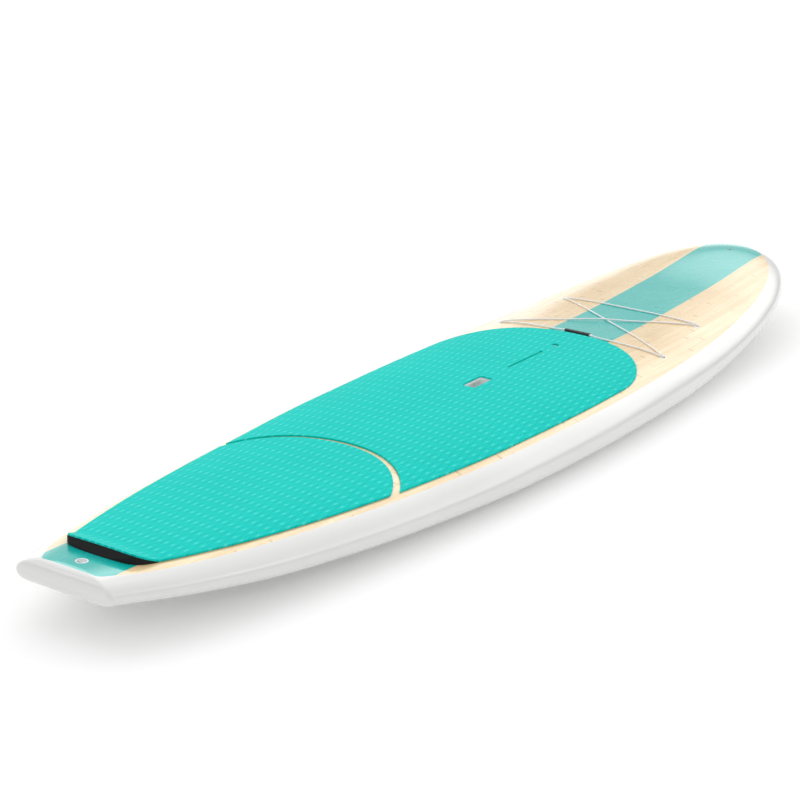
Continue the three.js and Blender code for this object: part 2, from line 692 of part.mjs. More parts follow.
// The blocks of dense foam that hold the handle and the fin box. The stringer runs on under the
// handle block, which is slotted over it.
const BLOCK = { length: 150, width: 120, stringerTop: 70 };
const core = hullSolid(SKIN + GAP).subtract(deckSheet(-PANEL - GAP, 30));
const slab = (from, to, low = -100, high = 300) =>
  box([LENGTH + 20, to - from, high - low], [LENGTH / 2, (from + to) / 2, (low + high) / 2]);
const handleBlockBox = spare =>
  box([BLOCK.length + spare, BLOCK.width + spare, 400], [HANDLE.x, HANDLE.undercut / 2, 100]);
const finBlockBox = spare => box([300, 70, 90].map(size => size + spare), [0, 0, 0], finSeat);
const halfStart = STRINGER / 2 + GAP;
const bridge = slab(-halfStart, halfStart, -100, BLOCK.stringerTop + GAP);
const handleBlockRoom = handleBlockBox(2 * GAP);
const finBlockRoom = finBlockBox(2 * GAP);
addNode('handle_block', 'denseFoam', cutAll(core.intersect(handleBlockBox(0)), [handleRoom, bridge]));
addNode('fin_block', 'denseFoam', core.intersect(finBlockBox(0)).subtract(finRoom));

const stringerCuts = [handleBlockRoom.subtract(bridge), finBlockRoom, ...deckRooms];
addNode('stringer', 'timber', cutAll(core.intersect(slab(-STRINGER / 2, STRINGER / 2)), stringerCuts));

// The foam blank: a port and a starboard half, each in three lengths that meet at the handle block.
const blankSides = { port: [halfStart, 500], starboard: [-500, -halfStart] };
const blockEnds = [HANDLE.x - BLOCK.length / 2, HANDLE.x + BLOCK.length / 2];
const blankLengths = {
  rear: [-10, blockEnds[0] - GAP], middle: blockEnds, front: [blockEnds[1] + GAP, LENGTH + 10],
};
for (const [side, [inner, outer]] of Object.entries(blankSides)) {
  for (const [length, [from, to]] of Object.entries(blankLengths)) {
    const room = box([to - from, outer - inner, 400], [(from + to) / 2, (inner + outer) / 2, 100]);
    const blank = cutAll(core.intersect(room), [handleBlockRoom, finBlockRoom, ...deckRooms]);
    addNode(`foam_core_${side}_${length}`, 'foam', blank);
  }
}

addNode('tail_pad', 'tealFoam', tailPad());
addNode('kick_wedge', 'blackFoam', kickWedge(PAD_LIFT).intersect(prism(tailPadShape(KICK.lean))));

// The main pad, one sheet glued to the deck, in the stretches that meet round the handle's window.
const pad = mainPad();
const windowReach = HANDLE.length / 2 + 1;
const [windowRear, windowFront] = [HANDLE.x - windowReach, HANDLE.x + windowReach];
const padStretches = {
  rear: [-10, windowRear - GAP / 2, -500, 500],
  port: [windowRear + GAP / 2, windowFront - GAP / 2, 0, 500],
  starboard: [windowRear + GAP / 2, windowFront - GAP / 2, -500, 0],
  front: [windowFront + GAP / 2, LENGTH, -500, 500],
};
for (const [stretch, [rear, front, right, left]] of Object.entries(padStretches)) {
  const room = box([front - rear, left - right, 400], [(rear + front) / 2, (right + left) / 2, 100]);
  addNode(`main_pad_${stretch}`, 'tealFoam', pad.intersect(room));
}

addNode('handle_cup', 'whitePlastic', handleCup(), handleSeat);
addNode('vent_housing', 'whitePlastic', ventHousing(), ventSeat);
addNode('vent_screw', 'greyPlastic', ventScrew(), ventSeat);
addNode('vent_seal', 'rubber', ventSeal(), ventSeat);
addNode('leash_cup', 'whitePlastic', leashCup(), leashSeat);
const restingBar = ({ barRadius, cavityRadius, barDepth }, hold) =>
  crossRod(barRadius, 2 * (cavityRadius + hold), -barDepth);
addNode('leash_bar', 'steel', restingBar(LEASH, 1), leashSeat);
addNode('nose_insert', 'greyPlastic', noseInsert(), noseSeat);
for (const [name, seat] of cupSeats) {
  addNode(`cord_cup_${name}`, 'whitePlastic', bungeeCup(), seat);
  addNode(`cord_bar_${name}`, 'steel', restingBar(CUP, 0.8), seat);
}
addNode('deck_cord', 'silverCord', tubeThrough(cordPoints(), CORD_RADIUS, 8));
addNode('cord_sleeve', 'blackPlastic', cordSleeve());

addNode('fin_box', 'whitePlastic', finBox(hull, finSeat));
addNode('fin_plate', 'brass', finPlate(), finSeat);
addNode('fin_screw', 'steel', finScrew(), finSeat);

export default board;
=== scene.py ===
"""Looks of a stand up paddleboard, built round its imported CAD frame. Lengths are in metres.

Board axes are those of the CAD part: x runs from the tail (0) to the nose (LENGTH), +y is port
and z = 0 is the lowest point of the bottom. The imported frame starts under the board's middle.
"""
import math

import bpy
import numpy as np
from mathutils import Matrix, Vector
from mathutils.geometry import delaunay_2d_cdt


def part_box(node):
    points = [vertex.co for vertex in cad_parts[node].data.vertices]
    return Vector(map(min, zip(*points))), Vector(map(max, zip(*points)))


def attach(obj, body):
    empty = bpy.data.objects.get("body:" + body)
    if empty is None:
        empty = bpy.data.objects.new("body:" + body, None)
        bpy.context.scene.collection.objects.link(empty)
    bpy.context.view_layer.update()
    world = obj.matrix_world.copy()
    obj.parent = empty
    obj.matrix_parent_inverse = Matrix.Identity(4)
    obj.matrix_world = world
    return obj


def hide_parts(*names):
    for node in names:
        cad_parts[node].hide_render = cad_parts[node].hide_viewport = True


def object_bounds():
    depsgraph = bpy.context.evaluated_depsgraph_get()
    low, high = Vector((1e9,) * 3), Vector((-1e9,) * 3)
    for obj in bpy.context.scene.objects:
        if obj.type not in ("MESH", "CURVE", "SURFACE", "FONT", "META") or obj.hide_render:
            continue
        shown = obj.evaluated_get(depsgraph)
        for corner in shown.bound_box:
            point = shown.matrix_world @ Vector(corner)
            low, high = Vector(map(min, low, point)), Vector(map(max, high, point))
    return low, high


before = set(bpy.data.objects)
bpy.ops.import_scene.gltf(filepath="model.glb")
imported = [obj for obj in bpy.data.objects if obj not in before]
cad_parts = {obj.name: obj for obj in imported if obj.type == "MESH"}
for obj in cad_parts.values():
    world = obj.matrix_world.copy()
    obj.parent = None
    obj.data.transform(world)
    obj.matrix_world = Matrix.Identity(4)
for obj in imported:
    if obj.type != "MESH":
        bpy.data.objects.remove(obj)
CAD_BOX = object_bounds()
LENGTH = round(CAD_BOX[1].x - CAD_BOX[0].x, 3)
TO_FRAME = Matrix.Translation((CAD_BOX[0].x, 0, 0))

# ------------------------------------------------------------------ driving sizes

NOSE_BLUNTNESS = 7.3
TAIL_CORNER = 0.014
DECK_SHARE = 0.6
DECK_POWER = 3.45
BOTTOM_POWER = 7.2
NOSE_SPINE_END = LENGTH - 0.183
TAIL_SPINE_START = 0.041

PAD = 0.005
PAD_GAP = 0.0002
PAD_EDGE = 0.0012
PANEL_TAIL = 0.023
PANEL_TAIL_HALF = 0.084
PANEL_CORNER = 0.022
BAND_HALF = 0.1043
# No band is painted within BARE_HALF of BARE_MIDDLE_X, which is under the pads.
BARE_MIDDLE_X = 1.13 - LENGTH / 2
BARE_HALF = 0.92

KICK_X = 0.108
KICK_LEAN = 0.013
KICK_TOP = KICK_X + KICK_LEAN
KICK_CORNER = 0.033
KICK_RUN = 0.054
KICK_HEIGHT = 0.0195
KICK_GAP = 0.0005
TAIL_PAD_GAP = 0.0008
PAD_MARGIN = 0.082
ARC_X = 0.740
TAIL_ARC = 0.292
MAIN_ARC = 0.310
PAD_FRONT_X = 1.900
PAD_FRONT_REACH = 0.298
PAD_FRONT_POWER = 2.15

HANDLE_X = 1.650
HANDLE_LENGTH = 0.093
HANDLE_WIDTH = 0.040
SLOT_FROM = 1.815
SLOT_TO = 1.988
SLOT_WIDTH = 0.007
SLOT_END = 0.005
VENT_X = 2.068
VENT_RADIUS = 0.009
VENT_PAD_RADIUS = 0.0105
WINDOW_GAP = 0.001
WINDOW_CORNER = 0.0015
HANDLE_GAP = 0.0003
FITTING_GAP = 0.0002
LEASH_X = 0.065
LEASH_RADIUS = 0.015
NOSE_INSERT_X = 3.190
NOSE_INSERT_RADIUS = 0.006
CUP_RADIUS = 0.0105

CORD_RADIUS = 0.0022
CORD_GAP = 0.0005
CROSSING_GAP = 0.0006
SLEEVE_WALL = 0.0022
SLEEVE_GAP = 0.0008
SLEEVE_PORT = 0.054
SLEEVE_STARBOARD = -0.036
LANE = CORD_RADIUS + 0.00025


def smooth_line(pairs):
    """A smooth line through (station, value) pairs that never overshoots them."""
    stations = [station for station, _ in pairs]
    values = [value for _, value in pairs]
    last = len(pairs) - 1
    chords = [(values[i + 1] - values[i]) / (stations[i + 1] - stations[i]) for i in range(last)]
    slopes = [chords[0]]
    for before, after in zip(chords, chords[1:]):
        slopes.append(2 * before * after / (before + after) if before * after > 0 else 0)
    slopes.append(chords[-1])

    def value_at(station):
        at = min(max(station, 0), 1)
        i = 0
        while i < last - 1 and at > stations[i + 1]:
            i += 1
        span = stations[i + 1] - stations[i]
        t = (at - stations[i]) / span
        rise = t * t * (3 - 2 * t)
        bend = slopes[i] * t * (1 - t) ** 2 * span + slopes[i + 1] * t * t * (t - 1) * span
        return values[i] + (values[i + 1] - values[i]) * rise + bend

    return value_at


half_width_line = smooth_line([
    (0, 0.141), (0.06, 0.217), (0.15, 0.293), (0.27, 0.355),
    (0.4, 0.395), (0.55, 0.409), (0.75, 0.400), (1, 0.392),
])
deck_line = smooth_line([
    (0, 0.166), (0.12, 0.150), (0.3, 0.139), (0.7, 0.139), (0.85, 0.156), (1, 0.200),
])
bottom_line = smooth_line([
    (0, 0.104), (0.15, 0.044), (0.35, 0.009), (0.46, 0), (0.64, 0), (0.85, 0.065), (1, 0.150),
])
panel_inset = smooth_line([(0, 0.046), (0.2, 0.061), (0.7, 0.059), (0.85, 0.056), (1, 0.039)])


# ------------------------------------------------------------------ the board's surface

def half_width(x):
    station = min(max(x / LENGTH, 0), 1)
    return half_width_line(station) * math.sqrt(1 - station ** NOSE_BLUNTNESS)


def surface_height(x, share, below=False):
    """Height over a plan point that is a share of the way from the centreline to the rail."""
    station = x / LENGTH
    thickness = deck_line(station) - bottom_line(station)
    rail = deck_line(station) - DECK_SHARE * thickness
    if below:
        return rail - (1 - DECK_SHARE) * thickness * math.sqrt(1 - share ** BOTTOM_POWER)
    return rail + DECK_SHARE * thickness * math.sqrt(1 - share ** DECK_POWER)


def deck_height(x, y):
    into_nose = max((x - NOSE_SPINE_END) / (LENGTH - NOSE_SPINE_END), 0)
    share = max(abs(y) / half_width(x), into_nose)
    return surface_height(x, min(share, 1))


def half_outline():
    """Half of the plan outline, from the middle of the tail to the tip of the nose."""
    tail_steps, corner_steps, side_steps = 12, 10, 170
    corner = half_width(TAIL_CORNER)
    points = [(0, (corner - TAIL_CORNER) * i / tail_steps) for i in range(tail_steps + 1)]
    for i in range(1, corner_steps + 1):
        turn = math.pi / 2 * i / corner_steps
        points.append((
            TAIL_CORNER * (1 - math.cos(turn)), corner - TAIL_CORNER * (1 - math.sin(turn)),
        ))
    for i in range(1, side_steps + 1):
        x = TAIL_CORNER + (LENGTH - TAIL_CORNER) * (1 - math.cos(math.pi * i / side_steps)) / 2
        points.append((x, 0 if i == side_steps else half_width(x)))
    return points


def mirrored(half):
    """A closed loop from its port half, counter-clockwise from above."""
    loop = list(half) + [(x, -y) for x, y in reversed(half) if y > 0]
    return loop[::-1]


def spine_x(x):
    """Where the spoke of an outline point starts on the centreline: fanned out at both ends."""
    nose_fan = 2 * NOSE_SPINE_END - LENGTH
    if x > nose_fan:
        return nose_fan + (x - nose_fan) / 2
    return TAIL_SPINE_START + x / 2 if x < 2 * TAIL_SPINE_START else x


def round_corner(loop, index, radius, steps=8):
    """The loop with one corner replaced by an arc."""
    here = Vector(loop[index])
    before = (Vector(loop[index - 1]) - here).normalized()
    after = (Vector(loop[(index + 1) % len(loop)]) - here).normalized()
    half_angle = before.angle(after) / 2
    centre = here + (before + after).normalized() * radius / math.sin(half_angle)
    start = here + before * radius / math.tan(half_angle) - centre
    turn = start.angle_signed(here + after * radius / math.tan(half_angle) - centre)
    arc = [tuple(centre + Matrix.Rotation(-turn * i / steps, 2) @ start) for i in range(steps + 1)]
    return loop[:index] + arc + loop[index + 1:]


def panel_loop():
    """Outline of the bamboo panel inside the white rim, with its two tail corners rounded."""
    outline = half_outline()
    straight_side = PANEL_TAIL + 0.075
    side = []
    for before, here, after in zip(outline, outline[1:], outline[2:]):
        run, rise = after[0] - before[0], after[1] - before[1]
        inset = panel_inset(here[0] / LENGTH) / math.hypot(run, rise)
        point = (here[0] + rise * inset, here[1] - run * inset)
        if point[0] > straight_side and point[1] > 0:
            side.append(point)
    half = [(PANEL_TAIL, PANEL_TAIL_HALF), *side, (LENGTH - panel_inset(1), 0)]
    loop = mirrored(half)
    corners = [i for i, point in enumerate(loop) if point[0] == PANEL_TAIL]
    for index in reversed(corners):
        loop = round_corner(loop, index, PANEL_CORNER)
    return loop


def spoke_crossing(centre, end, loop):
    """Share of a spoke at which it crosses a closed loop round the centreline."""
    ends = np.array(loop)
    along = np.roll(ends, -1, axis=0) - ends
    spoke = np.array([end[0] - centre, end[1]])
    from_start = ends - np.array([centre, 0])
    cross = spoke[0] * along[:, 1] - spoke[1] * along[:, 0]
    cross[np.abs(cross) < 1e-15] = 1e-15
    share = (from_start[:, 0] * along[:, 1] - from_start[:, 1] * along[:, 0]) / cross
    place = (from_start[:, 0] * spoke[1] - from_start[:, 1] * spoke[0]) / cross
    hits = share[(place >= -1e-9) & (place <= 1 + 1e-9) & (share > 0)]
    return float(hits.min())


def spoke_points(spoke, shares, below=False):
    centre, x, y = spoke
    made = []
    for share in shares:
        at_x = centre + (x - centre) * share
        made.append((at_x, y * share, surface_height(at_x, share, below)))
    return made


def ring_spokes():
    half = half_outline()
    ring = half + [(x, -y) for x, y in reversed(half[1:-1])]
    return [(spine_x(x), x, y) for x, y in ring]


# ------------------------------------------------------------------ meshes

def make_piece(name, vertices, faces, look, body="board", replaces=(), smooth_angle=40):
    """A mesh piece in board axes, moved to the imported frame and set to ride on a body."""
    mesh = bpy.data.meshes.new(name)
    mesh.from_pydata([tuple(vertex) for vertex in vertices], [], [tuple(face) for face in faces])
    mesh.transform(TO_FRAME)
    mesh.validate()
    piece = bpy.data.objects.new(name, mesh)
    bpy.context.scene.collection.objects.link(piece)
    finish_mesh(piece, look, smooth_angle)
    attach(piece, body)
    if replaces:
        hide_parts(*replaces)
    return piece


def finish_mesh(piece, look, smooth_angle=40):
    mesh = piece.data
    mesh.shade_smooth()
    mesh.set_sharp_from_angle(angle=math.radians(smooth_angle))
    mesh.materials.clear()
    mesh.materials.append(look)


def ring_faces(rings, closed=False):
    """Quads between rings of vertex numbers; the last ring also meets the first when closed."""
    faces = []
    pairs = zip(rings, rings[1:] + rings[:1]) if closed else zip(rings, rings[1:])
    for near, far in pairs:
        for i in range(len(near)):
            j = (i + 1) % len(near)
            corners = list(dict.fromkeys((near[j], near[i], far[i], far[j])))
            if len(corners) > 2:
                faces.append(corners)
    return faces


def inside_loop(points, loop):
    """Which plan points lie inside a closed loop."""
    found = np.zeros(len(points), bool)
    x, y = points[:, 0], points[:, 1]
    for (ax, ay), (bx, by) in zip(loop, loop[1:] + loop[:1]):
        if ay != by:
            found ^= ((ay > y) != (by > y)) & (x < (bx - ax) * (y - ay) / (by - ay) + ax)
    return found


def loop_distance(points, loop):
    """How far each plan point is from a closed loop."""
    best = np.full(len(points), np.inf)
    for start, end in zip(np.array(loop), np.roll(np.array(loop), -1, axis=0)):
        along = end - start
        share = np.clip((points - start) @ along / max(along @ along, 1e-15), 0, 1)
        best = np.minimum(best, np.hypot(*(points - start - share[:, None] * along).T))
    return best


def plan_sheet(outer, holes, inner_points, spacing):
    """Triangles that fill a loop round its holes, as (plan points, faces, inner points used)."""
    clear = inside_loop(inner_points, outer) & (loop_distance(inner_points, outer) > spacing)
    for hole in holes:
        clear &= ~inside_loop(inner_points, hole) & (loop_distance(inner_points, hole) > spacing)
    points, loops = [], []
    for loop in [outer, *holes]:
        loops.append(list(range(len(points), len(points) + len(loop))))
        points += [tuple(point) for point in loop]
    points += [tuple(point) for point in inner_points[clear]]
    edges = [(a, b) for loop in loops for a, b in zip(loop, loop[1:] + loop[:1])]
    found = delaunay_2d_cdt([Vector(point) for point in points], edges, [], 0, 1e-9)
    source = [origin[0] for origin in found[3]]
    faces = [[source[i] for i in face] for face in found[2]]
    plan = np.array(points)
    middles = np.array([plan[face].mean(axis=0) for face in faces])
    kept = inside_loop(middles, outer)
    for hole in holes:
        kept &= ~inside_loop(middles, hole)
    return points, [face for face, keep in zip(faces, kept) if keep], np.flatnonzero(clear)


def circle(centre, radius, steps=40):
    turns = [2 * math.pi * i / steps for i in range(steps)]
    return [(centre[0] + radius * math.cos(t), centre[1] + radius * math.sin(t)) for t in turns]


def rectangle(centre, length, width, corner=0.0, steps=4):
    """A counter-clockwise rectangle with rounded corners."""
    half = (length / 2, width / 2)
    if not corner:
        return [(centre[0] + a * half[0], centre[1] + b * half[1])
                for a, b in ((-1, -1), (1, -1), (1, 1), (-1, 1))]
    loop = []
    for quarter, (a, b) in enumerate(((1, 1), (-1, 1), (-1, -1), (1, -1))):
        for i in range(steps + 1):
            turn = math.pi / 2 * (quarter + i / steps)
            loop.append((
                centre[0] + a * (half[0] - corner) + corner * math.cos(turn),
                centre[1] + b * (half[1] - corner) + corner * math.sin(turn),
            ))
    return loop


def dense(loop, spacing):
    """The loop with points added so that no edge is longer than the spacing."""
    made = []
    for (ax, ay), (bx, by) in zip(loop, loop[1:] + loop[:1]):
        steps = max(1, math.ceil(math.hypot(bx - ax, by - ay) / spacing))
        made += [(ax + (bx - ax) * i / steps, ay + (by - ay) * i / steps) for i in range(steps)]
    return made


def shifted(loop, inwards):
    """A counter-clockwise loop moved to its left, which is into the sheet that it bounds."""
    made = []
    for before, here, after in zip(loop[-1:] + loop[:-1], loop, loop[1:] + loop[:1]):
        run, rise = after[0] - before[0], after[1] - before[1]
        size = math.hypot(run, rise)
        made.append((here[0] - rise / size * inwards, here[1] + run / size * inwards))
    return made


def foam_sheet(outer, holes, top, low, edge, spacing):
    """Vertices and faces of a cut foam sheet: upright cut sides, a softened edge and a top."""
    loops = [outer] + [hole[::-1] for hole in holes]
    profile = [(0, None), (0, edge), (0.3 * edge, 0.3 * edge), (edge, 0)]
    vertices, faces, rims = [], [], []
    for loop in loops:
        first = len(vertices)
        for inset, drop in profile:
            for x, y in shifted(loop, inset):
                vertices.append((x, y, low(x, y) if drop is None else top(x, y) - drop))
        for row in range(len(profile) - 1):
            for i in range(len(loop)):
                a, b = first + row * len(loop) + i, first + row * len(loop) + (i + 1) % len(loop)
                faces.append((a, b, b + len(loop), a + len(loop)))
        rims.append(shifted(loop, edge))
    xs = np.arange(min(x for x, _ in outer), max(x for x, _ in outer), spacing)
    ys = np.arange(0, max(y for _, y in outer), spacing)
    grid = np.array([(x, side * y) for x in xs for y in ys for side in ((1, -1) if y else (1,))])
    points, sheet, _ = plan_sheet(rims[0], [rim[::-1] for rim in rims[1:]], grid, 0.4 * spacing)
    first = len(vertices)
    vertices += [(x, y, top(x, y)) for x, y in points]
    faces += [[first + i for i in face] for face in sheet]
    return vertices, faces


# ------------------------------------------------------------------ seats and turned fittings

def frame_from(along_x, along_y, origin):
    x_axis = Vector(along_x).normalized()
    z_axis = x_axis.cross(Vector(along_y)).normalized()
    y_axis = z_axis.cross(x_axis)
    matrix = Matrix((x_axis, y_axis, z_axis)).transposed().to_4x4()
    matrix.translation = Vector(origin)
    return matrix


def deck_seat(x, y):
    """Frame on the deck at a plan point, with its z axis square to the deck there."""
    step = 0.005
    along_x = (2 * step, 0, deck_height(x + step, y) - deck_height(x - step, y))
    along_y = (0, 2 * step, deck_height(x, y + step) - deck_height(x, y - step))
    return frame_from(along_x, along_y, (x, y, deck_height(x, y)))


def seat_of(node):
    """Seat of an upright CAD fitting, found from the middle of its box."""
    low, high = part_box(node)
    middle = (low + high) / 2 - TO_FRAME.translation
    tilt = deck_seat(middle.x, middle.y).to_3x3() @ Vector((0, 0, 1))
    rise = (deck_height(middle.x, middle.y) - middle.z) / tilt.z
    return deck_seat(middle.x + tilt.x * rise, middle.y + tilt.y * rise)


def turned(name, profile, seat, look, node, body="board", steps=64):
    """A piece turned round its seat's z axis from (radius, height) pairs, listed from the top."""
    rings, vertices = [], []
    for radius, height in profile:
        first = len(vertices)
        count = steps if radius else 1
        for i in range(count):
            turn = 2 * math.pi * i / steps
            point = Vector((radius * math.cos(turn), radius * math.sin(turn), height))
            vertices.append(seat @ point)
        rings.append([first + i % count for i in range(steps)])
    return make_piece(name, vertices, ring_faces(rings), look, body, [node])


def cup_profile(outer, depth, cavity, cavity_depth, lip):
    """A cup with a softened rim, from the outside of its base over the rim to its floor."""
    top = -0.0001
    fillet = 0.25 * cavity
    floor = [
        (cavity - fillet * (1 - math.cos(turn)), -cavity_depth + fillet * (1 - math.sin(turn)))
        for turn in (0, 0.4, 0.8, 1.2, math.pi / 2)
    ]
    wall = [
        (0, -depth), (outer, -depth), (outer, top - 0.5 * lip), (outer - 0.15 * lip, top - 0.15 * lip),
        (outer - 0.5 * lip, top), (cavity + 0.6 * lip, top), (cavity + 0.15 * lip, top - 0.2 * lip),
        (cavity, top - 0.7 * lip),
    ]
    return [*wall, *floor, (0, -cavity_depth)][::-1]


# ------------------------------------------------------------------ camera and cord

VIEW_TURN = math.radians(34.83)
VIEW_DROP = math.radians(19.5)
VIEW_ROLL = math.radians(0.85)
VIEW_DISTANCE = 5.697
VIEW_TARGET = Vector((-0.244, 0.091, 0.139))
VIEW_LENS = 94.6


def make_camera():
    ahead = Vector((
        math.cos(VIEW_TURN) * math.cos(VIEW_DROP),
        math.sin(VIEW_TURN) * math.cos(VIEW_DROP),
        -math.sin(VIEW_DROP),
    ))
    level = Vector((math.sin(VIEW_TURN), -math.cos(VIEW_TURN), 0))
    above = level.cross(ahead)
    right = math.cos(VIEW_ROLL) * level + math.sin(VIEW_ROLL) * above
    up = math.cos(VIEW_ROLL) * above - math.sin(VIEW_ROLL) * level
    lens = bpy.data.cameras.new("camera")
    lens.sensor_width = 36
    lens.lens = VIEW_LENS
    lens.clip_end = 100
    camera = bpy.data.objects.new("camera", lens)
    place = Matrix((right, up, -ahead)).transposed().to_4x4()
    place.translation = VIEW_TARGET - VIEW_DISTANCE * ahead
    camera.matrix_world = place
    bpy.context.scene.collection.objects.link(camera)
    bpy.context.scene.camera = camera


CUP_SEATS = {
    name: seat_of(f"cord_cup_{name}")
    for name in ("front_port", "front_starboard", "rear_starboard", "rear_port")
}


def cup_dip(name):
    """The cord's way under a cup's bar, from the cup's forward side to its aft side."""
    seat = CUP_SEATS[name]
    inboard = -math.copysign(1, seat.translation.y)
    legs = [
        (0.0049, 0.008, 0.0029), (0.0047, 0.0035, 0.0016), (0.0045, 0.0005, -0.002),
        (0.0036, 0, -0.0054), (0.0016, 0, -0.0074), (0, 0, -0.0078),
    ]
    legs += [(-x, y, z) for x, y, z in reversed(legs[:-1])]
    return [seat @ Vector((x, y * inboard, z)) for x, y, z in legs]


def deck_run(start, end, steps, lift=0.0):
    """A straight run over the crown of the deck, whose middle stands lift above the deck."""
    points = []
    for i in range(1, steps):
        t = i / steps
        x = start.x + (end.x - start.x) * t
        y = start.y + (end.y - start.y) * t
        bump = lift * math.exp(-((t - 0.5) / 0.12) ** 2)
        points.append(Vector((x, y, deck_height(x, y) + CORD_RADIUS + CORD_GAP + bump)))
    return points


def height_in_sleeve(x):
    return deck_height(x, 0) + CORD_RADIUS + SLEEVE_WALL + SLEEVE_GAP


SLEEVE_X = CUP_SEATS["rear_port"].translation.x
SLEEVE_Z = height_in_sleeve(SLEEVE_X)


def sleeve_lane(offset, start, end):
    """One of the two cord ends that lie side by side in the sleeve."""
    z = height_in_sleeve(SLEEVE_X + offset)
    return [Vector((SLEEVE_X + offset, start + (end - start) * i / 3, z)) for i in range(4)]


def cord_route():
    """Sleeve, rear port, front starboard, front port, rear starboard and back to the sleeve."""
    rear_port = cup_dip("rear_port")[::-1]
    front_starboard = cup_dip("front_starboard")[::-1]
    front_port = cup_dip("front_port")
    rear_starboard = cup_dip("rear_starboard")
    first = sleeve_lane(LANE, SLEEVE_STARBOARD - 0.004, SLEEVE_PORT)
    last = sleeve_lane(-LANE, SLEEVE_STARBOARD, SLEEVE_PORT - 0.008)
    upper = 2 * CORD_RADIUS + CROSSING_GAP
    return [
        *first, *deck_run(first[-1], rear_port[0], 6), *rear_port,
        *deck_run(rear_port[-1], front_starboard[0], 14, upper), *front_starboard,
        *deck_run(front_starboard[-1], front_port[0], 10), *front_port,
        *deck_run(front_port[-1], rear_starboard[0], 10), *rear_starboard,
        *deck_run(rear_starboard[-1], last[0], 6), *last,
    ]


def curved_route(points, spacing):
    """The route as a smooth curve through its points, at even steps."""
    made = [points[0]]
    for i in range(len(points) - 1):
        before, here = points[max(i - 1, 0)], points[i]
        after, beyond = points[i + 1], points[min(i + 2, len(points) - 1)]
        span = (after - here).length
        leave = (after - before).normalized() * span
        arrive = (beyond - here).normalized() * span
        steps = max(1, round(span / spacing))
        for k in range(1, steps + 1):
            t = k / steps
            made.append(
                here * (1 + 2 * t) * (1 - t) ** 2 + after * t * t * (3 - 2 * t)
                + leave * t * (1 - t) ** 2 + arrive * t * t * (t - 1)
            )
    return made


def tube(points, radius, sides):
    """Vertices, faces and, for each vertex, how far along the line it is and its turn round it."""
    vertices, rings, marks = [], [], []
    side = Vector((0, 0, 1)).cross(points[1] - points[0]).normalized()
    travelled = 0
    for i, point in enumerate(points):
        ahead = (points[min(i + 1, len(points) - 1)] - points[max(i - 1, 0)]).normalized()
        side = (side - ahead * side.dot(ahead)).normalized()
        other = ahead.cross(side)
        travelled += (point - points[i - 1]).length if i else 0
        rings.append([len(vertices) + k for k in range(sides)])
        for k in range(sides):
            turn = 2 * math.pi * k / sides
            vertices.append(point + side * radius * math.cos(turn) + other * radius * math.sin(turn))
            marks.append((travelled, math.sin(turn), math.cos(turn)))
    return vertices, ring_faces(rings) + [rings[0], rings[-1][::-1]], marks


def mark_tube(piece, marks):
    """Stores where each vertex is on its tube, for a braided material."""
    field = piece.data.attributes.new("on_tube", "FLOAT_VECTOR", "POINT")
    field.data.foreach_set("vector", np.array(marks, np.float32).ravel())


def make_cord(look):
    route = curved_route(cord_route(), 0.004)
    vertices, faces, marks = tube(route, CORD_RADIUS, 12)
    cord = make_piece("deck_cord_braid", vertices, faces, look, replaces=["deck_cord"])
    mark_tube(cord, marks)
    path = [tuple(TO_FRAME @ point) for point in route]
    length = sum((b - a).length for a, b in zip(route, route[1:]))
    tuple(path[0])


# ------------------------------------------------------------------ node graphs

def linear(red, green, blue):
    """A colour given as 0 to 255 screen values."""
    values = [channel / 255 for channel in (red, green, blue)]
    return tuple(v / 12.92 if v <= 0.04045 else ((v + 0.055) / 1.055) ** 2.4 for v in values) + (1,)


